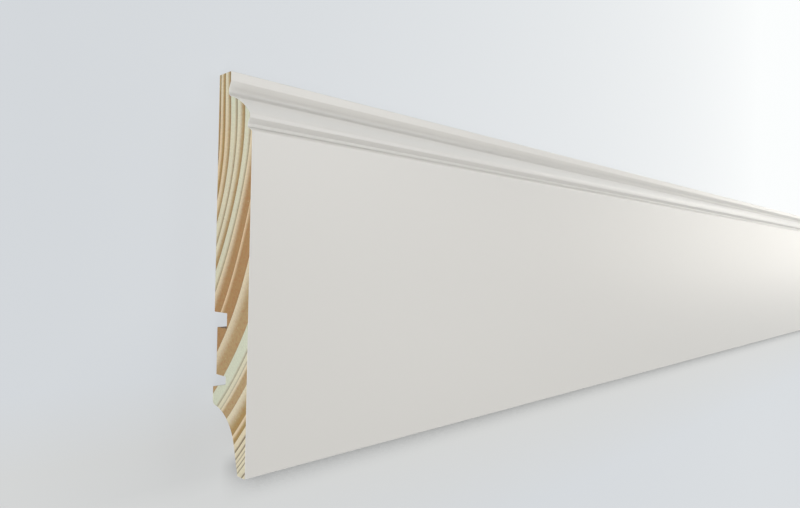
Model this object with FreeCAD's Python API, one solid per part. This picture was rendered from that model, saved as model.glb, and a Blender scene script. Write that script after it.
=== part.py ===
"""A length of painted pine skirting board, 19 x 118 mm in section, lying on its back.

Every size is in millimetres. X runs along the board, Y from its bottom edge to its
moulded top edge and Z up from the back, which lies on the floor. The origin is the
centre of the board's footprint on the floor.
"""

import FreeCAD
import Part

import math
import os

# Overall size of the stock.
board_length = 2400.0
board_height = 118.0
board_thickness = 19.0

# Moulding on the top edge, from the top downwards. Depths are behind the front face.
top_lip_thickness = 6.9
nose_height = 2.9
nose_undercut_depth = 0.8
nose_undercut_fall = 1.7
quirk_height = 2.9
quirk_bow = 0.75
ovolo_fall = 6.7
ovolo_bow = 0.9
flat_setback = 1.3
flat_height = 1.3
flat_undercut_fall = 1.4
fillet_setback = 2.4
fillet_height = 1.0
face_slope_fall = 1.5

# Two grooves for the wall clips, and the shallow recess between them, cut in the back.
groove_depth = 7.3
upper_groove_low_wall = 41.5
upper_groove_width = 4.5
lower_groove_high_wall = 27.3
lower_groove_inner_width = 2.3
lower_groove_splay = 1.6
recess_depth = 1.8

# Chase for cables behind the bottom edge, which leaves a tongue that reaches the floor.
chase_height = 18.0
tongue_foot_thickness = 4.1
tongue_root_thickness = 6.4
tongue_root_height = 8.3

# Rounding of the lengthwise edges.
chase_lip_rounding = 1.5
ovolo_rounding = 1.6
face_top_rounding = 0.9
arris_rounding = 0.4
small_arris_rounding = 0.25

# Two points closer than this are one corner.
same_place = 0.0001

# Heights of the moulding's turning points above the bottom edge.
nose_low = board_height - nose_height
quirk_high = nose_low - nose_undercut_fall
quirk_low = quirk_high - quirk_height
flat_high = quirk_low - ovolo_fall
flat_low = flat_high - flat_height
fillet_high = flat_low - flat_undercut_fall
fillet_low = fillet_high - fillet_height
face_high = fillet_low - face_slope_fall

# Depths of the turning points behind the front face.
nose_setback = board_thickness - top_lip_thickness
quirk_setback = nose_setback + nose_undercut_depth
groove_setback = board_thickness - groove_depth
recess_setback = board_thickness - recess_depth

# Heights of the turning points on the back.
upper_groove_high_wall = upper_groove_low_wall + upper_groove_width
lower_groove_inner_low = lower_groove_high_wall - lower_groove_inner_width
lower_groove_mouth_low = lower_groove_inner_low - lower_groove_splay


def at(setback, height):
    """The point of the section that lies this far behind the front and above the bottom."""
    return FreeCAD.Vector(
        -board_length / 2, height - board_height / 2, board_thickness - setback
    )


def straight_run(points):
    """Straight edges from each point to the next."""
    return [Part.makeLine(a, b) for a, b in zip(points, points[1:])]


def bowed(start, end, bow):
    """An arc whose middle stands off its chord by bow, to the left of the way along it."""
    chord = end - start
    sideways = FreeCAD.Vector(1, 0, 0).cross(chord).normalize()
    middle = (start + end) * 0.5 + sideways * bow
    return Part.Arc(start, middle, end).toShape()


def hollowed(start, end, after):
    """An arc that bows inwards and runs smoothly into the straight from end to after."""
    chord = end - start
    turn = chord.getAngle(after - end)
    return bowed(start, end, -chord.Length / 2 * math.tan(turn / 2))


def front_edges():
    """The plain face, then the moulding up to the top of the nose."""
    face = [
        at(0, 0),
        at(0, face_high),
        at(fillet_setback, fillet_low),
        at(fillet_setback, fillet_high),
        at(flat_setback, flat_low),
        at(flat_setback, flat_high),
    ]
    nose = [
        at(quirk_setback, quirk_high),
        at(nose_setback, nose_low),
        at(nose_setback, board_height),
    ]
    ovolo = bowed(face[-1], at(nose_setback, quirk_low), ovolo_bow)
    quirk = bowed(at(nose_setback, quirk_low), nose[0], -quirk_bow)
    return straight_run(face) + [ovolo, quirk] + straight_run(nose)


def back_edges():
    """The top edge, then down the back over both grooves to the lip above the chase."""
    return straight_run(
        [
            at(nose_setback, board_height),
            at(board_thickness, board_height),
            at(board_thickness, upper_groove_high_wall),
            at(groove_setback, upper_groove_high_wall),
            at(groove_setback, upper_groove_low_wall),
            at(recess_setback, upper_groove_low_wall),
            at(recess_setback, lower_groove_high_wall),
            at(groove_setback, lower_groove_high_wall),
            at(groove_setback, lower_groove_inner_low),
            at(board_thickness, lower_groove_mouth_low),
            at(board_thickness, chase_height),
        ]
    )


def tongue_edges():
    """The hollow of the chase, then round the tongue that reaches the floor."""
    root = at(tongue_root_thickness, tongue_root_height)
    foot = at(tongue_foot_thickness, 0)
    hollow = hollowed(at(board_thickness, chase_height), root, foot)
    return [hollow] + straight_run([root, foot, at(0, 0)])


def reaches(edge, corner):
    """Whether the edge starts or ends at the corner."""
    return any((vertex.Point - corner).Length < same_place for vertex in edge.Vertexes)


def eased(edges, corner, radius):
    """The outline's edges with an arc of the given radius in place of one corner."""
    touching = [edge for edge in edges if reaches(edge, corner)]
    others = [edge for edge in edges if not reaches(edge, corner)]
    across = Part.Plane(corner, FreeCAD.Vector(1, 0, 0))
    rounding = Part.ChFi2d.FilletAPI(*touching, across)
    if not rounding.perform(radius):
        raise ValueError(f"no room to round the corner at {corner} by {radius} mm")
    return others + list(rounding.result(corner))


def section():
    """The whole outline of the section, with its corners eased, as one closed face."""
    roundings = [
        (at(0, 0), arris_rounding),
        (at(0, face_high), face_top_rounding),
        (at(flat_setback, flat_low), small_arris_rounding),
        (at(flat_setback, flat_high), ovolo_rounding),
        (at(nose_setback, nose_low), small_arris_rounding),
        (at(nose_setback, board_height), arris_rounding),
        (at(board_thickness, chase_height), chase_lip_rounding),
    ]
    edges = front_edges() + back_edges() + tongue_edges()
    for corner, radius in roundings:
        edges = eased(edges, corner, radius)
    return Part.Face(Part.Wire(Part.__sortEdges__(edges)))


board = section().extrude(FreeCAD.Vector(board_length, 0, 0))
os.makedirs("parts", exist_ok=True)
board.exportStep("parts/skirting_board.step")
size = board.BoundBox
print("size", round(size.XLength, 3), round(size.YLength, 3), round(size.ZLength, 3))
print("volume cm3", round(board.Volume / 1000, 1), "valid", board.isValid(), len(board.Faces))
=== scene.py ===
"""A painted pine skirting board lying on its back on a pale floor.

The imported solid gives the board's length, height and thickness. This script draws the
section again with smooth curves, gives the board its paint film, its planed back and its
two sawn ends, and sets the floor, the lights and the camera. X runs along the board, Y
from its bottom edge to its moulded top edge and Z up out of its painted face.
"""

import math

import bmesh
import bpy
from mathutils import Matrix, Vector
from mathutils.geometry import delaunay_2d_cdt


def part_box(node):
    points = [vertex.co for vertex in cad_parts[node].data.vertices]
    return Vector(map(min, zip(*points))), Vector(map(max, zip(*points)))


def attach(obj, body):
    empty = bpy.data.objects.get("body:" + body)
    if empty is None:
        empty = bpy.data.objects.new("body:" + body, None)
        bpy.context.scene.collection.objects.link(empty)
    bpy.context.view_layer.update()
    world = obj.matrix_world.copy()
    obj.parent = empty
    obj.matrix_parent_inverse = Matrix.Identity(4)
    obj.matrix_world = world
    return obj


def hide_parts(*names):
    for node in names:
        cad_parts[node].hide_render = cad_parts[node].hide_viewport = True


bl_info = {
    "name": "Skirting board length",
    "version": (1, 0, 0),
    "blender": (4, 5, 0),
    "location": "3D View > Sidebar > Skirting",
    "description": "Dresses a moulded and painted pine skirting board",
    "category": "Object",
}

NODE = "skirting_board"
MM = 0.001

# The board's three materials, by their places in its list.
PAINTED, PLANED, SAWN = range(3)

# The colour sockets of a Mix node, by number, since its other sockets share their names.
MIX_A = 6
MIX_B = 7
MIX_RESULT = 2

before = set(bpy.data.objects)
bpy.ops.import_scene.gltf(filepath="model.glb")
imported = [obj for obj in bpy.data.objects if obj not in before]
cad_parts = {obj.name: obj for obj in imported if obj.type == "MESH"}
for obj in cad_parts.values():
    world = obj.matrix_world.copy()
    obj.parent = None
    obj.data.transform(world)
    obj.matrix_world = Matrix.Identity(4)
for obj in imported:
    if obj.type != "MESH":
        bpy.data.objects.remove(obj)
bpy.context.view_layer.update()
board_low, board_high = (Vector(corner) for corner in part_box(NODE))


def linear(hex_code):
    """An sRGB hex colour as the linear red, green and blue that a shader takes."""
    parts = [int(hex_code[i : i + 2], 16) / 255 for i in (1, 3, 5)]
    return tuple(c / 12.92 if c <= 0.04045 else ((c + 0.055) / 1.055) ** 2.4 for c in parts)


def millimetres(name, value, description):
    """A length property whose default is given in millimetres."""
    return bpy.props.FloatProperty(
        name=name,
        description=description,
        default=value * MM,
        unit="LENGTH",
        subtype="DISTANCE",
        precision=5,
    )


def colour(name, value, description):
    """A colour property whose default is given as sRGB hex."""
    return bpy.props.FloatVectorProperty(
        name=name,
        description=description,
        default=linear(value),
        min=0,
        max=1,
        size=3,
        subtype="COLOR",
    )


def degrees(name, value, description):
    """An angle property whose default is given in degrees."""
    return bpy.props.FloatProperty(
        name=name, description=description, default=math.radians(value), subtype="ANGLE"
    )


def number(name, value, description):
    """A plain number with no unit."""
    return bpy.props.FloatProperty(name=name, description=description, default=value)


class SectionSizes(bpy.types.PropertyGroup):
    """Sizes of the moulded section, the same as the solid's."""

    top_lip_thickness: millimetres("Top lip", 6.9, "Thickness of the board's top edge")
    nose_height: millimetres("Nose", 2.9, "Height of the flat front of the nose")
    nose_undercut_depth: millimetres("Nose undercut", 0.8, "How far its underside runs back")
    nose_undercut_fall: millimetres("Nose undercut fall", 1.7, "How far its underside falls")
    quirk_height: millimetres("Quirk", 2.9, "Height of the hollow under the nose")
    quirk_bow: millimetres("Quirk bow", 0.75, "Depth of that hollow's curve")
    ovolo_fall: millimetres("Ovolo fall", 6.7, "Height of the round moulding")
    ovolo_bow: millimetres("Ovolo bow", 0.9, "How full its curve stands")
    flat_setback: millimetres("Flat setback", 1.3, "Depth of its lower flat behind the face")
    flat_height: millimetres("Flat height", 1.3, "Height of that flat")
    flat_undercut_fall: millimetres("Flat undercut fall", 1.4, "Height of the undercut below it")
    fillet_setback: millimetres("Fillet setback", 2.4, "Depth of the fillet behind the face")
    fillet_height: millimetres("Fillet height", 1.0, "Height of the fillet")
    face_slope_fall: millimetres("Face slope fall", 1.5, "Height of the slope out to the face")
    groove_depth: millimetres("Groove depth", 7.3, "Depth of both clip grooves")
    upper_groove_low_wall: millimetres("Upper groove", 41.5, "Height of its lower wall")
    upper_groove_width: millimetres("Upper groove width", 4.5, "Width of the upper groove")
    lower_groove_high_wall: millimetres("Lower groove", 27.3, "Height of its upper wall")
    lower_groove_inner_width: millimetres("Lower groove width", 2.3, "Width at its bottom")
    lower_groove_splay: millimetres("Lower groove splay", 1.6, "How far its lower wall falls")
    recess_depth: millimetres("Recess depth", 1.8, "Depth of the back between the grooves")
    chase_height: millimetres("Chase height", 18.0, "Height of the hollow for cables")
    tongue_foot_thickness: millimetres("Tongue foot", 4.1, "Thickness at the floor")
    tongue_root_thickness: millimetres("Tongue root", 6.4, "Thickness where its taper ends")
    tongue_root_height: millimetres("Tongue root height", 8.3, "Height where its taper ends")
    chase_lip_rounding: millimetres("Chase lip rounding", 1.5, "Radius of the lip's corner")
    ovolo_rounding: millimetres("Ovolo rounding", 1.6, "Radius where the ovolo meets its flat")
    face_top_rounding: millimetres("Face top rounding", 0.9, "Radius of the face's upper edge")
    arris_rounding: millimetres("Arris rounding", 0.4, "Radius of the outer painted edges")
    small_arris_rounding: millimetres("Small arris", 0.25, "Radius of the moulding's arrises")
    saw_arris: millimetres("Cut edge", 0.08, "Wear on the edges of the sawn ends")
    paint_film: millimetres("Paint film", 0.1, "Thickness of the paint seen on a sawn end")


class FinishSettings(bpy.types.PropertyGroup):
    """Colours and surface sizes of the paint and the wood."""

    paint: colour("Paint", "#E7E5E0", "Warm white of the topcoat")
    earlywood: colour("Earlywood", "#E6DBBE", "Pale cream spring growth")
    sapwood: colour("Sapwood", "#DBDFC8", "The greener cream of the sappier rings")
    warm_earlywood: colour("Warm earlywood", "#E7CCA6", "The orange cream of the resinous rings")
    latewood: colour("Latewood", "#AE925A", "Ochre summer growth")
    heartwood: colour("Heartwood", "#B18B5C", "Redder summer growth of the wider rings")
    ring_line: colour("Ring line", "#6E6048", "Dark line that ends each year's growth")
    resin_stain: colour("Resin stain", "#B27148", "Reddish stain in the brown wood")
    pith_setback: millimetres("Pith setback", 107.2, "Depth of the tree's centre behind the face")
    pith_height: millimetres("Pith height", 110.13, "Its height above the bottom edge")
    ring_wave: millimetres("Ring wave", 0.688, "How far the rings wander from circles")
    ring_wave_length: millimetres("Ring wave length", 52.8, "Height of one such wave")


class StageSettings(bpy.types.PropertyGroup):
    """The floor, the lights and the camera."""

    floor: colour("Floor", "#D7DBDF", "Cool pale grey of the floor")
    floor_beside: colour("Floor beside", "#D7D8D7", "Its plainer grey along the bottom edge")
    # A painted pool of light: the floor takes this colour in a patch beside the top edge.
    painted_pool_colour: colour("Far floor", "#FDFFFF", "Its colour in a patch beside the top edge")
    sky: colour("Backdrop", "#CACDCF", "Pale grey seen beyond the floor and in the paint")
    glow_share: number("Glow share", 0.86, "Part of the floor's colour that shadows leave alone")
    # The contact shadow and the shadow before the near end are painted shadows, taken off the
    # floor's glow.
    contact_reach: millimetres("Contact reach", 22.0, "Reach of the contact shadow on the floor")
    contact_depth: number("Contact depth", 0.8, "How dark the contact shadow is at most")
    end_shadow_depth: number("End shadow depth", 0.06, "How dark the shadow before the end is")
    lens: number("Lens", 28.0, "Focal length in millimetres on a 36 mm wide sensor")
    before_end: millimetres("Before the end", 94.86, "Camera's distance from the sawn end")
    above_bottom: millimetres("Above the bottom", 62.73, "Its distance from the bottom edge")
    before_face: millimetres("Before the face", 153.83, "Its distance from the painted face")
    tilt: degrees("Tilt", -0.543, "Camera's turn about the board's length")
    swing: degrees("Swing", -45.241, "Camera's turn towards the board's far end")
    roll: degrees("Roll", 1.543, "Camera's turn about the line of sight")


# Growth rings from the oldest to the youngest. Each row gives the ring's width in
# millimetres, where in the year's growth the brown begins, where it is full and how much of
# it there is, where the year's last line begins and how dark it is, the tint of the early
# wood from orange at 0 over cream to green at 1, and the redness of the late wood.
RING_TRAITS = ("width", "begins", "full", "brown", "line_begins", "line", "tint", "redness")
GROWTH_RINGS = (
    (1.95, 0.30, 0.70, 0.90, 0.70, 0.80, 0.30, 0.0),
    (2.70, 0.25, 0.72, 1.00, 0.70, 0.15, 0.10, 0.2),
    (3.00, 0.25, 0.85, 0.85, 0.70, 0.35, 0.25, 0.2),
    (3.50, 0.50, 0.85, 0.50, 0.70, 0.50, 0.65, 0.2),
    (3.85, 0.20, 0.85, 0.95, 0.80, 0.30, 0.55, 0.3),
    (3.30, 0.50, 0.90, 0.50, 0.72, 0.40, 0.75, 0.3),
    (5.45, 0.02, 0.60, 1.00, 0.90, 0.10, 0.30, 1.0),
    (5.45, 0.00, 0.32, 1.00, 0.88, 0.15, 0.00, 1.0),
    (7.75, 0.00, 0.58, 0.85, 0.95, 0.05, 0.40, 0.5),
    (5.00, 0.72, 0.95, 0.30, 0.82, 0.40, 1.00, 0.2),
    (1.85, 0.50, 0.90, 0.15, 0.60, 0.35, 0.65, 0.0),
    (4.15, 0.08, 0.38, 0.80, 0.88, 0.10, 0.40, 0.5),
    (5.60, 0.08, 0.85, 1.00, 0.90, 0.10, 0.50, 0.2),
    (2.10, 0.15, 0.70, 1.00, 0.60, 0.20, 0.15, 0.0),
    (2.00, 0.40, 0.90, 0.30, 0.62, 1.00, 0.40, 0.0),
    (1.50, 0.40, 0.90, 0.10, 0.50, 0.90, 0.45, 0.0),
    (0.95, 0.40, 0.90, 0.05, 0.45, 0.60, 0.50, 0.0),
    (1.00, 0.40, 0.90, 0.05, 0.55, 0.85, 0.50, 0.0),
    (1.05, 0.40, 0.90, 0.05, 0.55, 0.80, 0.55, 0.0),
    (1.95, 0.30, 0.60, 0.10, 0.65, 1.00, 0.60, 0.0),
    (1.50, 0.40, 0.90, 0.10, 0.60, 0.70, 0.50, 0.0),
    (1.50, 0.40, 0.90, 0.10, 0.60, 0.70, 0.50, 0.0),
)
FIRST_RING_RADIUS_MM = 88.1


def settings():
    """The scene's three groups of settings."""
    scene = bpy.context.scene
    return scene.skirting_section, scene.skirting_finish, scene.skirting_stage


class Run:
    """A stretch of the outline from one corner to the next, with one finish."""

    def __init__(self, points, painted, rounding=0.0):
        self.points = points
        self.painted = painted
        self.rounding = rounding


def section_point(setback, height):
    """The place in the section this far behind the face and above the bottom edge."""
    return Vector((board_low.y + height, board_high.z - setback))


def arc(start, end, bow, steps=18):
    """Points of an arc whose middle stands off its chord by bow, to the left of the way."""
    chord = end - start
    half = chord.length / 2
    sideways = Vector((-chord.y, chord.x)).normalized()
    radius = (half * half + bow * bow) / (2 * bow)
    centre = (start + end) / 2 + sideways * (bow - radius)
    first = start - centre
    turn = -4 * math.atan2(bow, half)
    points = []
    for step in range(steps + 1):
        angle = turn * step / steps
        c, s = math.cos(angle), math.sin(angle)
        points.append(centre + Vector((first.x * c - first.y * s, first.x * s + first.y * c)))
    points[-1] = end.copy()
    return points


def hollowed(start, end, after, steps=24):
    """An arc that bows inwards and runs smoothly into the straight from end to after."""
    chord = end - start
    turn = chord.angle(after - end)
    return arc(start, end, -chord.length / 2 * math.tan(turn / 2), steps)


def front_runs(sizes):
    """The painted outline: the face, the moulding, the nose and the top edge."""
    height = board_high.y - board_low.y
    thickness = board_high.z - board_low.z
    nose_back = thickness - sizes.top_lip_thickness
    nose_low = height - sizes.nose_height
    quirk_high = nose_low - sizes.nose_undercut_fall
    quirk_low = quirk_high - sizes.quirk_height
    flat_high = quirk_low - sizes.ovolo_fall
    flat_low = flat_high - sizes.flat_height
    fillet_high = flat_low - sizes.flat_undercut_fall
    fillet_low = fillet_high - sizes.fillet_height
    face_high = fillet_low - sizes.face_slope_fall

    foot = section_point(0, 0)
    face = section_point(0, face_high)
    fillet_bottom = section_point(sizes.fillet_setback, fillet_low)
    fillet_top = section_point(sizes.fillet_setback, fillet_high)
    flat_bottom = section_point(sizes.flat_setback, flat_low)
    flat_top = section_point(sizes.flat_setback, flat_high)
    ovolo_top = section_point(nose_back, quirk_low)
    quirk_top = section_point(nose_back + sizes.nose_undercut_depth, quirk_high)
    nose_bottom = section_point(nose_back, nose_low)
    nose_top = section_point(nose_back, height)
    back_top = section_point(thickness, height)
    small = sizes.small_arris_rounding
    return [
        Run([foot, face], True, sizes.face_top_rounding),
        Run([face, fillet_bottom], True),
        Run([fillet_bottom, fillet_top], True),
        Run([fillet_top, flat_bottom], True, small),
        Run([flat_bottom, flat_top], True, sizes.ovolo_rounding),
        Run(arc(flat_top, ovolo_top, sizes.ovolo_bow), True),
        Run(arc(ovolo_top, quirk_top, -sizes.quirk_bow), True),
        Run([quirk_top, nose_bottom], True, small),
        Run([nose_bottom, nose_top], True, sizes.arris_rounding),
        Run([nose_top, back_top], True),
    ]


def back_runs(sizes):
    """The bare outline: the back with its grooves, the lip, the chase and the tongue."""
    height = board_high.y - board_low.y
    thickness = board_high.z - board_low.z
    inner = thickness - sizes.groove_depth
    recess = thickness - sizes.recess_depth
    upper_high = sizes.upper_groove_low_wall + sizes.upper_groove_width
    lower_low = sizes.lower_groove_high_wall - sizes.lower_groove_inner_width
    corners = [
        section_point(thickness, height),
        section_point(thickness, upper_high),
        section_point(inner, upper_high),
        section_point(inner, sizes.upper_groove_low_wall),
        section_point(recess, sizes.upper_groove_low_wall),
        section_point(recess, sizes.lower_groove_high_wall),
        section_point(inner, sizes.lower_groove_high_wall),
        section_point(inner, lower_low),
        section_point(thickness, lower_low - sizes.lower_groove_splay),
        section_point(thickness, sizes.chase_height),
    ]
    straight = [Run([a, b], False) for a, b in zip(corners, corners[1:])]
    straight[-1].rounding = sizes.chase_lip_rounding
    root = section_point(sizes.tongue_root_thickness, sizes.tongue_root_height)
    foot_back = section_point(sizes.tongue_foot_thickness, 0)
    foot = section_point(0, 0)
    return straight + [
        Run(hollowed(corners[-1], root, foot_back), False),
        Run([root, foot_back], False),
        Run([foot_back, foot], True, sizes.arris_rounding),
    ]


def shortened(points, distance):
    """The points with this much of their path taken off the end."""
    kept = list(points)
    while distance > 0:
        last = (kept[-1] - kept[-2]).length
        if last > distance or len(kept) == 2:
            kept[-1] = kept[-1] + (kept[-2] - kept[-1]).normalized() * distance
            break
        distance -= last
        kept.pop()
    return kept


def with_holding_points(points, distance):
    """A straight run with a point close to each end, so that its shading stays flat."""
    length = (points[-1] - points[0]).length
    if len(points) > 2 or length < 4 * distance:
        return points
    way = (points[1] - points[0]).normalized() * distance
    return [points[0], points[0] + way, points[1] - way, points[1]]


def corner_arc(start, before, after, end, steps=6):
    """Points of a rounded corner between two directions, without its own two ends."""
    turn = before.angle(after)
    side = 1 if before.x * after.y < before.y * after.x else -1
    bow = side * (end - start).length / 2 * math.tan(turn / 4)
    return arc(start, end, bow, steps)[1:-1]


def outline(runs, holding=0.3 * MM):
    """The closed outline with its corners rounded, as points and whether each is painted."""
    trimmed = [run.points for run in runs]
    corners = {}
    for i, run in enumerate(runs):
        following = (i + 1) % len(runs)
        if not run.rounding:
            continue
        before = (run.points[-1] - run.points[-2]).normalized()
        after = (runs[following].points[1] - runs[following].points[0]).normalized()
        distance = run.rounding * math.tan(before.angle(after) / 2)
        trimmed[i] = shortened(trimmed[i], distance)
        trimmed[following] = shortened(trimmed[following][::-1], distance)[::-1]
        corners[i] = (before, after)
    points, painted = [], []
    for i, run in enumerate(runs):
        stretch = with_holding_points(trimmed[i], holding)
        if i in corners:
            stretch = stretch + corner_arc(
                stretch[-1], *corners[i], trimmed[(i + 1) % len(runs)][0]
            )
        else:
            stretch = stretch[:-1]
        points += stretch
        painted += [run.painted] * len(stretch)
    return points, painted


def film_line(points, painted, thickness, sharpest=0.5):
    """The inner edge of the paint film: the outline, set in where it is painted.

    At a sharp corner it is set in by at most the thickness divided by sharpest.
    """
    inner = []
    count = len(points)
    for i, point in enumerate(points):
        if not (painted[i] and painted[i - 1]):
            inner.append(point.copy())
            continue
        before = (point - points[i - 1]).normalized()
        after = (points[(i + 1) % count] - point).normalized()
        normal = Vector(((before + after).y, -(before + after).x)).normalized()
        slant = max(normal.dot(Vector((after.y, -after.x))), sharpest)
        inner.append(point + normal * thickness / slant)
    return inner


def board_mesh(sizes):
    """The board as one closed mesh: sides, eased cut edges, paint rims and sawn ends."""
    runs = front_runs(sizes) + back_runs(sizes)
    points, painted = outline(runs)
    if sum(a.x * b.y - b.x * a.y for a, b in zip(points, points[1:] + points[:1])) > 0:
        raise RuntimeError("the section's outline runs the wrong way round")
    rim = film_line(points, painted, sizes.paint_film)
    eased = film_line(points, [True] * len(points), sizes.saw_arris)
    bm = bmesh.new()
    stations = 40
    span = board_high.x - board_low.x - 2 * sizes.saw_arris
    rings = []
    for k in range(stations + 1):
        x = board_low.x + sizes.saw_arris + span * k / stations
        rings.append([bm.verts.new((x, p.x, p.y)) for p in points])
    low_cap = [bm.verts.new((board_low.x, p.x, p.y)) for p in eased]
    high_cap = [bm.verts.new((board_high.x, p.x, p.y)) for p in eased]
    rings = [low_cap] + rings + [high_cap]
    for low, high in zip(rings, rings[1:]):
        for i in range(len(points)):
            j = (i + 1) % len(points)
            face = bm.faces.new((low[i], low[j], high[j], high[i]))
            face.material_index = PAINTED if painted[i] else PLANED
    close_end(bm, low_cap, rim, painted, board_low.x, True)
    close_end(bm, high_cap, rim, painted, board_high.x, False)
    bmesh.ops.recalc_face_normals(bm, faces=bm.faces)
    mesh = bpy.data.meshes.new("painted_pine_board")
    bm.to_mesh(mesh)
    bm.free()
    return mesh


def close_end(bm, ring, rim, painted, x, near):
    """Closes a sawn end with a rim of paint film and a face of end grain."""
    count = len(ring)
    inner = []
    for i in range(count):
        on_film = painted[i] and painted[i - 1]
        inner.append(bm.verts.new((x, rim[i].x, rim[i].y)) if on_film else ring[i])
    for i in range(count):
        j = (i + 1) % count
        corners = [ring[i], ring[j], inner[j], inner[i]]
        distinct = [v for k, v in enumerate(corners) if v not in corners[:k]]
        if len(distinct) > 2:
            bm.faces.new(distinct if near else distinct[::-1]).material_index = PAINTED
    flat = [Vector((v.co.y, v.co.z)) / MM for v in inner]
    edges = [(i, (i + 1) % count) for i in range(count)]
    inside_only = 1
    same_point = 1e-6
    for a, b, c in delaunay_2d_cdt(flat, edges, [], inside_only, same_point)[2]:
        bm.faces.new((inner[a], inner[b], inner[c])).material_index = SAWN


def mark_sharp(mesh, limit=math.radians(28)):
    """Smooth shading along the curves, with an edge wherever two faces meet at an angle."""
    bm = bmesh.new()
    bm.from_mesh(mesh)
    for face in bm.faces:
        face.smooth = True
    for edge in bm.edges:
        edge.smooth = len(edge.link_faces) == 2 and edge.calc_face_angle(0) < limit
    bm.to_mesh(mesh)
    bm.free()


def new_material(name):
    """A material with an empty node tree."""
    material = bpy.data.materials.new(name)
    material.use_nodes = True
    material.node_tree.nodes.clear()
    return material


def add(tree, kind, inputs, output=0, curve=(), **options):
    """Adds a node with its options, its curve and its inputs, and returns one output."""
    node = tree.nodes.new("ShaderNode" + kind)
    for name, value in options.items():
        setattr(node, name, value)
    for key, value in inputs.items():
        if isinstance(value, bpy.types.NodeSocket):
            tree.links.new(value, node.inputs[key])
        else:
            node.inputs[key].default_value = value
    if curve:
        draw_curve(node.mapping, curve)
    return node.outputs[output] if node.outputs else None


def draw_curve(mapping, points):
    """Runs a curve mapping straight from each point to the next."""
    curve = mapping.curves[0]
    for x, y in points[1:-1]:
        curve.points.new(x, y)
    curve.points[0].location = points[0]
    curve.points[-1].location = points[-1]
    for point in curve.points:
        point.handle_type = "VECTOR"
    mapping.update()


def rgba(value):
    """A colour property with full alpha."""
    return (*value, 1.0)


def millimetre_place(tree):
    """The point's place on the board in millimetres."""
    place = add(tree, "TexCoord", {}, "Object")
    return add(tree, "VectorMath", {0: place, "Scale": 1 / MM}, operation="SCALE")


def around_pith(tree, place, finish):
    """The point's place about the tree's centre line, as seen on the end of the board."""
    centre = (
        0.0,
        -(board_low.y + finish.pith_height) / MM,
        -(board_high.z - finish.pith_setback) / MM,
    )
    inputs = {"Vector": place, "Location": centre, "Scale": (0.0, 1.0, 1.0)}
    return add(tree, "Mapping", inputs)


def growth_radius(tree, place, finish):
    """Distance from the tree's centre in millimetres, with the wander of real rings.

    On the sawn end the rings wander in one slanting wave. Along the board they sway as
    well, from nothing at the near end to the full amount 0.9 m further on.
    """
    turn_through_board = 1.786
    phase_at_foot = 5.577
    sway = 7.0
    sway_length = 260.0
    sway_width = 60.0
    grown_after = 900.0
    thickness = (board_high.z - board_low.z) / MM
    radius = add(
        tree, "VectorMath", {0: around_pith(tree, place, finish)}, "Value", operation="LENGTH"
    )
    wave_turn = 2 * math.pi * MM / finish.ring_wave_length
    slant = turn_through_board / thickness
    start = phase_at_foot + turn_through_board - wave_turn * board_low.y / MM
    turns = {0: place, 1: (0.0, wave_turn, -slant)}
    phase = add(tree, "VectorMath", turns, "Value", operation="DOT_PRODUCT")
    phase = add(tree, "Math", {0: phase, 1: start}, operation="ADD")
    wave = add(tree, "Math", {0: phase}, operation="SINE")
    inputs = {0: wave, 1: finish.ring_wave / MM, 2: radius}
    radius = add(tree, "Math", inputs, operation="MULTIPLY_ADD")
    drawn_out = {"Vector": place, "Scale": (1 / sway_length, 1 / sway_width, 1 / sway_width)}
    drift = add(tree, "TexNoise", {"Vector": add(tree, "Mapping", drawn_out), "Scale": 1.0})
    drift = add(tree, "MapRange", {"Value": drift, "To Min": -sway, "To Max": sway})
    near_end = board_low.x / MM
    along = {
        "Value": add(tree, "SeparateXYZ", {0: place}, "X"),
        "From Min": near_end,
        "From Max": near_end + grown_after,
    }
    grown = add(tree, "MapRange", along)
    return add(tree, "Math", {0: drift, 1: grown, 2: radius}, operation="MULTIPLY_ADD")


def ring_trait(tree, year, name):
    """The value that one column of the growth rings has in this year."""
    column = RING_TRAITS.index(name)
    count = len(GROWTH_RINGS)
    marks = [((i + 0.5) / count, ring[column]) for i, ring in enumerate(GROWTH_RINGS)]
    marks = [(0.0, marks[0][1])] + marks + [(1.0, marks[-1][1])]
    middle = add(tree, "Math", {0: year, 1: 1 / count, 2: 0.5 / count}, operation="MULTIPLY_ADD")
    return add(tree, "FloatCurve", {"Value": middle}, curve=marks)


def ring_years(tree, place, finish):
    """The number of the year that grew here, and how far through that year it grew."""
    first = FIRST_RING_RADIUS_MM
    total = sum(ring[0] for ring in GROWTH_RINGS)
    count = len(GROWTH_RINGS)
    reached = 0.0
    edges = [(0.0, 0.0)]
    for i, ring in enumerate(GROWTH_RINGS):
        reached += ring[0] / total
        edges.append((min(reached, 1.0), (i + 1) / count))
    radius = growth_radius(tree, place, finish)
    share = add(tree, "MapRange", {"Value": radius, "From Min": first, "From Max": first + total})
    years = add(tree, "FloatCurve", {"Value": share}, curve=edges)
    years = add(tree, "Math", {0: years, 1: float(count)}, operation="MULTIPLY")
    year = add(tree, "Math", {0: years}, operation="FLOOR")
    season = add(tree, "Math", {0: years}, operation="FRACT")
    return year, season


def season_step(tree, season, begins, full, amount):
    """A soft rise through the year from 0 to the amount, between two times of the year."""
    inputs = {"Value": season, "From Min": begins, "From Max": full}
    step = add(tree, "MapRange", inputs, interpolation_type="SMOOTHSTEP")
    return add(tree, "Math", {0: step, 1: amount}, operation="MULTIPLY")


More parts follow.
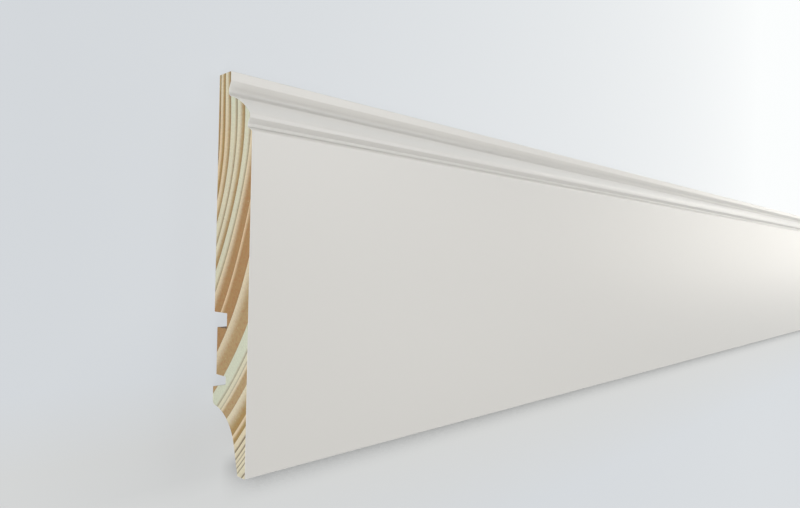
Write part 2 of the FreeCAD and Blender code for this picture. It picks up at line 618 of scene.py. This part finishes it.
def ring_colour(tree, place, finish):
    """The colour of the growth rings, and how far each point is latewood."""
    greying = 0.35
    line_ends = 0.95
    fainter_inside = 0.85
    year, season = ring_years(tree, place, finish)
    begins, full, amount, line_begins, line_dark, tint, redness = (
        ring_trait(tree, year, name) for name in RING_TRAITS[1:]
    )
    brown = season_step(tree, season, begins, full, amount)
    # Close to the moulded top edge the wood has greyed: less orange, with darker lines.
    height = add(tree, "SeparateXYZ", {0: place}, "Y")
    top = board_high.y / MM
    greyed = add(tree, "MapRange", {"Value": height, "From Min": top - 20.0, "From Max": top - 6.0})
    tint = add(tree, "Math", {0: greyed, 1: greying, 2: tint}, operation="MULTIPLY_ADD")
    darker = {0: greyed, 1: greying, 2: line_dark}
    line_dark = add(tree, "Math", darker, operation="MULTIPLY_ADD", use_clamp=True)
    # The lines darken a little in the last few millimetres before the painted face.
    depth = add(tree, "SeparateXYZ", {0: place}, "Z")
    face = board_high.z / MM
    near_face = {"Value": depth, "From Min": face - 5.0, "From Max": face - 0.5}
    near_face = add(tree, "MapRange", {**near_face, "To Min": fainter_inside})
    line_dark = add(tree, "Math", {0: line_dark, 1: near_face}, operation="MULTIPLY")
    line = season_step(tree, season, line_begins, line_ends, line_dark)
    greener = add(tree, "MapRange", {"Value": tint, "From Min": 0.5, "From Max": 1.0})
    warmer = add(tree, "MapRange", {"Value": tint, "From Min": 0.5, "From Max": 0.0})
    early = {"Factor": greener, MIX_A: rgba(finish.earlywood), MIX_B: rgba(finish.sapwood)}
    early = {"Factor": warmer, MIX_A: add(tree, "Mix", early, MIX_RESULT, data_type="RGBA")}
    early[MIX_B] = rgba(finish.warm_earlywood)
    late = {"Factor": redness, MIX_A: rgba(finish.latewood), MIX_B: rgba(finish.heartwood)}
    body = {
        "Factor": brown,
        MIX_A: add(tree, "Mix", early, MIX_RESULT, data_type="RGBA"),
        MIX_B: add(tree, "Mix", late, MIX_RESULT, data_type="RGBA"),
    }
    ended = {"Factor": line, MIX_A: add(tree, "Mix", body, MIX_RESULT, data_type="RGBA")}
    ended[MIX_B] = rgba(finish.ring_line)
    return add(tree, "Mix", ended, MIX_RESULT, data_type="RGBA"), brown


def wood_rays(tree, place, finish):
    """Faint streaks that run straight out from the tree's centre, about two to the millimetre."""
    to_a_radian = 220.0
    to_a_millimetre = 0.15
    centred = around_pith(tree, place, finish)
    across = add(tree, "SeparateXYZ", {0: centred}, "Y")
    away = add(tree, "SeparateXYZ", {0: centred}, "Z")
    angle = add(tree, "Math", {0: across, 1: away}, operation="ARCTAN2")
    reach = add(tree, "VectorMath", {0: centred}, "Value", operation="LENGTH")
    turned = add(tree, "CombineXYZ", {0: angle, 1: reach})
    drawn_out = {"Vector": turned, "Scale": (to_a_radian, to_a_millimetre, 1.0)}
    streaks = add(tree, "Mapping", drawn_out)
    return add(tree, "TexNoise", {"Vector": streaks, "Scale": 1.0})


def resin_canals(tree, place, strength):
    """Spots where a resin canal shows, drawn out along the grain, up to the strength."""
    stretch = 30
    to_a_millimetre = 0.42
    spot_edge = 0.075
    spot_core = 0.04
    drawn_out = add(tree, "Mapping", {"Vector": place, "Scale": (1 / stretch, 1.0, 1.0)})
    cells = {"Vector": drawn_out, "Scale": to_a_millimetre}
    distance = add(tree, "TexVoronoi", cells, "Distance")
    inputs = {"Value": distance, "From Min": spot_edge, "From Max": spot_core}
    spot = add(tree, "MapRange", inputs, interpolation_type="SMOOTHSTEP")
    return add(tree, "Math", {0: spot, 1: strength}, operation="MULTIPLY")


def toned(tree, base, value, depth):
    """A colour made lighter or darker by up to depth as value goes from 0 to 1."""
    tone = {"Value": value, "To Min": 1 - depth, "To Max": 1 + depth}
    return add(
        tree, "VectorMath", {0: base, "Scale": add(tree, "MapRange", tone)}, operation="SCALE"
    )


def end_grain_material(finish):
    """Sawn end grain of pine, cut across the growth rings.

    The rings show as bands from cream to brown, each ended by a darker line. The saw leaves
    the cut matt and a little fuzzy, with the open ends of the cells as fine specks.
    """
    material = new_material("sawn_pine_end_grain")
    tree = material.node_tree
    place = millimetre_place(tree)
    rings, brown = ring_colour(tree, place, finish)
    # Cells are some 0.03 mm across. These are drawn twenty times as coarse to be seen at all.
    cells = add(tree, "TexNoise", {"Vector": place, "Scale": 1.7, "Detail": 4.0, "Roughness": 0.7})
    rings = toned(tree, rings, cells, depth=0.22)
    rings = toned(tree, rings, wood_rays(tree, place, finish), depth=0.05)
    broad = add(tree, "TexNoise", {"Vector": place, "Scale": 0.09})
    rings = toned(tree, rings, broad, depth=0.06)
    # Redder stains of resin, a millimetre or so across, in the brown of the wider rings.
    stains = add(tree, "TexNoise", {"Vector": place, "Scale": 0.9, "Detail": 4.0})
    stained = {"Value": stains, "From Min": 0.48, "From Max": 0.7, "To Max": 0.5}
    stained = {0: add(tree, "MapRange", stained), 1: brown}
    stain = {"Factor": add(tree, "Math", stained, operation="MULTIPLY"), MIX_A: rings}
    stain[MIX_B] = rgba(finish.resin_stain)
    rings = add(tree, "Mix", stain, MIX_RESULT, data_type="RGBA")
    canals = {0: resin_canals(tree, place, strength=0.6), 1: brown}
    canals = add(tree, "Math", canals, operation="MULTIPLY")
    spotted = {"Factor": canals, MIX_A: rings, MIX_B: rgba(finish.earlywood)}
    height = add(tree, "Math", {0: brown, 1: 0.5, 2: cells}, operation="MULTIPLY_ADD")
    relief = {"Strength": 1.0, "Distance": 0.03 * MM, "Height": height}
    sawn = {
        "Base Color": add(tree, "Mix", spotted, MIX_RESULT, data_type="RGBA"),
        "Roughness": 0.85,
        "IOR": 1.5,
        "Normal": add(tree, "Bump", relief),
    }
    add(tree, "OutputMaterial", {"Surface": add(tree, "BsdfPrincipled", sawn)})
    return material


def planed_pine_material(finish):
    """Planed long grain of pine, the same rings seen along the board.

    The plane leaves it smooth and slightly silky, with the rings drawn out as long lines,
    short dark dashes of resin and the faint ripple of the cutter.
    """
    material = new_material("planed_pine_long_grain")
    tree = material.node_tree
    place = millimetre_place(tree)
    rings, brown = ring_colour(tree, place, finish)
    fine = add(tree, "Mapping", {"Vector": place, "Scale": (0.03, 4.0, 4.0)})
    fibres = add(tree, "TexNoise", {"Vector": fine, "Scale": 1.0, "Detail": 3.0, "Roughness": 0.6})
    rings = toned(tree, rings, fibres, depth=0.12)
    broad = add(tree, "Mapping", {"Vector": place, "Scale": (0.004, 0.05, 0.05)})
    broad = add(tree, "TexNoise", {"Vector": broad, "Scale": 1.0})
    rings = toned(tree, rings, broad, depth=0.08)
    dashed = {"Factor": resin_canals(tree, place, strength=0.45), MIX_A: rings}
    dashed[MIX_B] = rgba(finish.ring_line)
    # A planer's cutter leaves a ripple along the board.
    cutter_mark = 1.6
    along = add(tree, "SeparateXYZ", {0: place}, "X")
    turn = add(tree, "Math", {0: along, 1: 2 * math.pi / cutter_mark}, operation="MULTIPLY")
    ripple = add(tree, "Math", {0: turn}, operation="SINE")
    raised = add(tree, "Math", {0: brown, 1: 0.5, 2: fibres}, operation="MULTIPLY_ADD")
    height = add(tree, "Math", {0: ripple, 1: 0.06, 2: raised}, operation="MULTIPLY_ADD")
    relief = {"Strength": 1.0, "Distance": 0.02 * MM, "Height": height}
    planed = {
        "Base Color": add(tree, "Mix", dashed, MIX_RESULT, data_type="RGBA"),
        "Roughness": 0.55,
        "IOR": 1.5,
        "Normal": add(tree, "Bump", relief),
    }
    add(tree, "OutputMaterial", {"Surface": add(tree, "BsdfPrincipled", planed)})
    return material


def paint_material(finish):
    """Satin acrylic topcoat, sprayed in the factory and sanded between coats.

    It looks smooth and warm white, with a soft sheen at a low angle and only the faintest
    trace of the spray and of the grain beneath. Shade is painted into its recesses.
    """
    material = new_material("satin_acrylic_topcoat")
    tree = material.node_tree
    place = millimetre_place(tree)
    # The orange peel of spraying is about 2 mm from crest to crest and 0.002 mm deep.
    peel = add(tree, "TexNoise", {"Vector": place, "Scale": 0.5})
    long_grain = add(tree, "Mapping", {"Vector": place, "Scale": (0.01, 0.8, 0.8)})
    grain = add(tree, "TexNoise", {"Vector": long_grain, "Scale": 1.0})
    height = add(tree, "Math", {0: grain, 1: 0.5, 2: peel}, operation="MULTIPLY_ADD")
    clouds = add(tree, "Mapping", {"Vector": place, "Scale": (0.002, 0.02, 0.02)})
    cloud = add(tree, "TexNoise", {"Vector": clouds, "Scale": 1.0})
    relief = {"Strength": 1.0, "Distance": 0.004 * MM, "Height": height}
    # Shade is painted into the moulding's recesses: the colour darkens where the board's own
    # surfaces close in, so the recesses look greyer than the face.
    recess = add(tree, "AmbientOcclusion", {"Distance": 6 * MM}, "AO", samples=8, only_local=True)
    painted_recess_shade = add(tree, "MapRange", {"Value": recess, "To Min": 0.6})
    clouded = toned(tree, tuple(finish.paint), cloud, depth=0.01)
    satin = {
        "Base Color": add(tree, "VectorMath", {0: clouded, "Scale": painted_recess_shade}, operation="SCALE"),
        "Roughness": 0.36,
        "IOR": 1.5,
        "Normal": add(tree, "Bump", relief),
    }
    add(tree, "OutputMaterial", {"Surface": add(tree, "BsdfPrincipled", satin)})
    return material


def shows_background(tree):
    """1 on rays that show the background, straight or mirrored, and 0 on those that light."""
    rays = ("Is Camera Ray", "Is Glossy Ray", "Is Transmission Ray")
    camera, glossy, through = (add(tree, "LightPath", {}, ray) for ray in rays)
    seen = add(tree, "Math", {0: camera, 1: glossy}, operation="ADD")
    return add(tree, "Math", {0: seen, 1: through}, operation="ADD", use_clamp=True)


def painted_floor_shadow(tree, place, stage):
    """How much of the floor's glow is taken off as painted shadow.

    A dark line of painted shadow runs along the board's foot, from just past its near end,
    and a broad faint painted shadow lies before that end.
    """
    foot = board_low.y / MM
    near_end = board_low.x / MM
    open_touch = 1.0
    full_touch = 0.79
    line_falloff = 1.85
    soft_reach = 45.0
    soft_core = 4.0
    x = add(tree, "SeparateXYZ", {0: place}, "X")
    y = add(tree, "SeparateXYZ", {0: place}, "Y")
    below = add(tree, "MapRange", {"Value": y, "From Min": foot + 2.0, "From Max": foot - 2.0})
    beyond = {"Value": x, "From Min": near_end + 3.0, "From Max": near_end + 17.0}
    beyond = add(tree, "MapRange", beyond)
    # The contact shadow is painted: the board's occlusion darkens the floor's glow along its foot.
    touch = add(tree, "AmbientOcclusion", {"Distance": stage.contact_reach}, "AO", samples=16)
    line = {"Value": touch, "From Min": open_touch, "From Max": full_touch}
    line = add(tree, "MapRange", line)
    line = add(tree, "Math", {0: line, 1: line_falloff}, operation="POWER")
    for part in (below, beyond, stage.contact_depth):
        line = add(tree, "Math", {0: line, 1: part}, operation="MULTIPLY")
    # The shadow before the near end is painted, by distance from a point beside the foot.
    corner = (near_end - 8.0, foot + 4.0, 0.0)
    away = add(tree, "VectorMath", {0: place, 1: corner}, "Value", operation="DISTANCE")
    soft = {"Value": away, "From Min": soft_reach, "From Max": soft_core}
    soft = add(tree, "MapRange", {**soft, "To Max": stage.end_shadow_depth})
    above = add(tree, "MapRange", {"Value": y, "From Min": foot - 9.0, "From Max": foot - 3.0})
    return add(tree, "Math", {0: soft, 1: above, 2: line}, operation="MULTIPLY_ADD", use_clamp=True)


def floor_colour(tree, place, stage):
    """The floor's colour, and how far each point lies in its painted pool of light.

    The painted pool of light lies beside the top edge, a quarter of the way along. A plainer
    grey strip runs along the bottom edge.
    """
    near_end = board_low.x / MM
    foot = board_low.y / MM
    # A pool of light is painted on the floor round this point.
    patch = (near_end + 600.0, 150.0, 0.0)
    patch_core = 520.0
    patch_reach = 1400.0
    x = add(tree, "SeparateXYZ", {0: place}, "X")
    y = add(tree, "SeparateXYZ", {0: place}, "Y")
    along = {"Value": x, "From Min": near_end - 50.0, "From Max": near_end + 550.0}
    beside = {"Value": y, "From Min": -60.0, "From Max": 60.0, "To Min": 0.15}
    painted_pool = {0: add(tree, "MapRange", along), 1: add(tree, "MapRange", beside)}
    painted_pool = add(tree, "Math", painted_pool, operation="MULTIPLY")
    away = add(tree, "VectorMath", {0: place, 1: patch}, "Value", operation="DISTANCE")
    within = {"Value": away, "From Min": patch_reach, "From Max": patch_core}
    within = add(tree, "MapRange", within)
    painted_pool = add(tree, "Math", {0: painted_pool, 1: within}, operation="MULTIPLY")
    below = {"Value": y, "From Min": foot - 60.0, "From Max": foot - 15.0}
    above = {"Value": y, "From Min": foot + 28.0, "From Max": foot + 8.0}
    strip = {0: add(tree, "MapRange", below), 1: add(tree, "MapRange", above)}
    strip = {0: add(tree, "Math", strip, operation="MULTIPLY"), 1: within}
    plainer = {"Factor": add(tree, "Math", strip, operation="MULTIPLY"), MIX_A: rgba(stage.floor)}
    plainer[MIX_B] = rgba(stage.floor_beside)
    pale = {"Factor": painted_pool, MIX_A: add(tree, "Mix", plainer, MIX_RESULT, data_type="RGBA")}
    pale[MIX_B] = rgba(stage.painted_pool_colour)
    return add(tree, "Mix", pale, MIX_RESULT, data_type="RGBA"), painted_pool


def floor_material(stage):
    """Pale matt studio paper.

    The camera and mirrors see most of its colour as a glow of its own, so that the lamps'
    shadows on it stay faint. A painted shadow along the board's bottom edge and before its near
    end is taken off the glow, and a painted pool of light brightens it beside the top edge.
    """
    material = new_material("studio_paper")
    tree = material.node_tree
    place = millimetre_place(tree)
    patch_share = 0.95
    glow_only_from = 3000.0
    pale, painted_pool = floor_colour(tree, place, stage)
    painted_shadow = painted_floor_shadow(tree, place, stage)
    open_part = add(tree, "Math", {0: 1.0, 1: painted_shadow}, operation="SUBTRACT")
    matt = add(tree, "BsdfDiffuse", {"Color": pale})
    glow = add(tree, "Emission", {"Color": pale, "Strength": open_part})
    # In the painted pool of light the glow's share rises too.
    share = {"Value": painted_pool, "To Min": stage.glow_share, "To Max": patch_share}
    # Far from the board only the glow counts, so that the low lamps leave no pools of light.
    from_middle = add(tree, "VectorMath", {0: place}, "Value", operation="LENGTH")
    apart = add(tree, "MapRange", {"Value": from_middle, "From Max": glow_only_from})
    share = add(tree, "Math", {0: add(tree, "MapRange", share), 1: apart}, operation="MAXIMUM")
    factor = add(tree, "Math", {0: shows_background(tree), 1: share}, operation="MULTIPLY")
    mixed = add(tree, "MixShader", {0: factor, 1: matt, 2: glow})
    add(tree, "OutputMaterial", {"Surface": mixed})
    return material


class SKIRTING_OT_build_board(bpy.types.Operator):
    """Makes the painted pine board in place of the plain solid"""

    bl_idname = "skirting.build_board"
    bl_label = "Board"

    def execute(self, context):
        sizes, finish, _ = settings()
        mesh = board_mesh(sizes)
        mark_sharp(mesh)
        mesh.materials.append(paint_material(finish))
        mesh.materials.append(planed_pine_material(finish))
        mesh.materials.append(end_grain_material(finish))
        board = bpy.data.objects.new("painted_pine_board", mesh)
        context.scene.collection.objects.link(board)
        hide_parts(NODE)
        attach(board, "root")
        return {"FINISHED"}


# Each lamp: its name, its place in metres from the middle of the board, its side in metres,
# its power in watts and its colour. All stand 6 to 7 m off, so that they light the whole
# length evenly, and all look at the middle of the board.
LAMPS = (
    ("overhead_foot_side", (-2.43, -2.43, 4.91), 3.0, 117.2, "#FFFFFF"),
    ("overhead_top_side", (2.43, 2.43, 4.91), 3.0, 99.4, "#FFFFFF"),
    ("overhead_far", (3.44, 0.0, 4.91), 3.0, 41.2, "#FFFFFF"),
    ("foot_side_softbox", (-3.85, -3.85, 2.54), 3.0, 40.5, "#FFFFFF"),
    ("end_panel", (-5.91, 0.0, 1.04), 1.7, 99.3, "#FFFFFF"),
    ("top_side_panel", (0.0, 5.91, 1.04), 1.7, 120.6, "#FFFFFF"),
    ("far_low_panel", (6.0, 0.75, 0.96), 1.7, 17.0, "#FFFAF0"),
    ("far_high_panel", (6.0, 0.5, 2.2), 1.7, 16.9, "#FFFAF0"),
    ("far_side_panel", (6.0, 3.6, 0.96), 1.7, 46.3, "#FFFAF0"),
)


def add_lamp(name, place, side, power, tint):
    """A soft square lamp that looks at the middle of the board and isn't seen itself."""
    lamp = bpy.data.lights.new(name, "AREA")
    lamp.size = side
    lamp.energy = power
    lamp.color = linear(tint)
    holder = bpy.data.objects.new(name, lamp)
    holder.location = place
    holder.rotation_euler = (-Vector(place)).to_track_quat("-Z", "Y").to_euler()
    holder.visible_camera = False
    bpy.context.scene.collection.objects.link(holder)


class SKIRTING_OT_set_stage(bpy.types.Operator):
    """Lays the floor and sets the lights and the camera"""

    bl_idname = "skirting.set_stage"
    bl_label = "Stage"

    def execute(self, context):
        _, _, stage = settings()
        self.lay_floor(context, stage)
        self.light(context, stage)
        self.set_camera(context, stage)
        context.scene.view_settings.view_transform = "Standard"
        return {"FINISHED"}

    def lay_floor(self, context, stage):
        """A floor much wider than the board, just under its back."""
        reach = 30.0
        drop = 0.05 * MM
        corners = [(-reach, -reach), (reach, -reach), (reach, reach), (-reach, reach)]
        mesh = bpy.data.meshes.new("floor")
        mesh.from_pydata([(x, y, -drop) for x, y in corners], [], [(0, 1, 2, 3)])
        mesh.materials.append(floor_material(stage))
        floor = bpy.data.objects.new("floor", mesh)
        context.scene.collection.objects.link(floor)

    def light(self, context, stage):
        """Soft lamps all round, and a backdrop that is seen but lights next to nothing."""
        for lamp in LAMPS:
            add_lamp(*lamp)
        world = bpy.data.worlds.new("studio")
        world.use_nodes = True
        tree = world.node_tree
        tree.nodes.clear()
        faint = (0.02, 0.02, 0.02, 1.0)
        pale = {"Factor": shows_background(tree), MIX_A: faint, MIX_B: rgba(stage.sky)}
        pale = add(tree, "Mix", pale, MIX_RESULT, data_type="RGBA")
        add(tree, "OutputWorld", {"Surface": add(tree, "Background", {"Color": pale})})
        context.scene.world = world

    def set_camera(self, context, stage):
        """Looks down on the sawn near end, along the painted face."""
        data = bpy.data.cameras.new("camera")
        data.sensor_width = 36.0
        data.lens = stage.lens
        data.clip_start = 0.01
        data.clip_end = 50.0
        camera = bpy.data.objects.new("camera", data)
        camera.location = (
            board_low.x - stage.before_end,
            board_low.y + stage.above_bottom,
            board_high.z + stage.before_face,
        )
        camera.rotation_euler = (stage.tilt, stage.swing, stage.roll)
        context.scene.collection.objects.link(camera)
        context.scene.camera = camera


class SKIRTING_PT_panel(bpy.types.Panel):
    """Lists the settings and the steps that build the board"""

    bl_label = "Skirting board"
    bl_idname = "SKIRTING_PT_panel"
    bl_space_type = "VIEW_3D"
    bl_region_type = "UI"
    bl_category = "Skirting"

    def draw(self, context):
        layout = self.layout
        for group in settings():
            box = layout.box()
            for name in group.__annotations__:
                box.prop(group, name)
        for operator in OPERATORS:
            layout.operator(operator.bl_idname)


GROUPS = {
    "skirting_section": SectionSizes,
    "skirting_finish": FinishSettings,
    "skirting_stage": StageSettings,
}
OPERATORS = (SKIRTING_OT_build_board, SKIRTING_OT_set_stage)


def register():
    for name, group in GROUPS.items():
        bpy.utils.register_class(group)
        setattr(bpy.types.Scene, name, bpy.props.PointerProperty(type=group))
    for cls in (*OPERATORS, SKIRTING_PT_panel):
        bpy.utils.register_class(cls)


def unregister():
    for cls in (SKIRTING_PT_panel, *reversed(OPERATORS)):
        bpy.utils.unregister_class(cls)
    for name, group in reversed(GROUPS.items()):
        delattr(bpy.types.Scene, name)
        bpy.utils.unregister_class(group)


def main():
    """Builds the board and its stage."""
    register()
    bpy.ops.skirting.build_board()
    bpy.ops.skirting.set_stage()


if __name__ == "__main__":
    main()
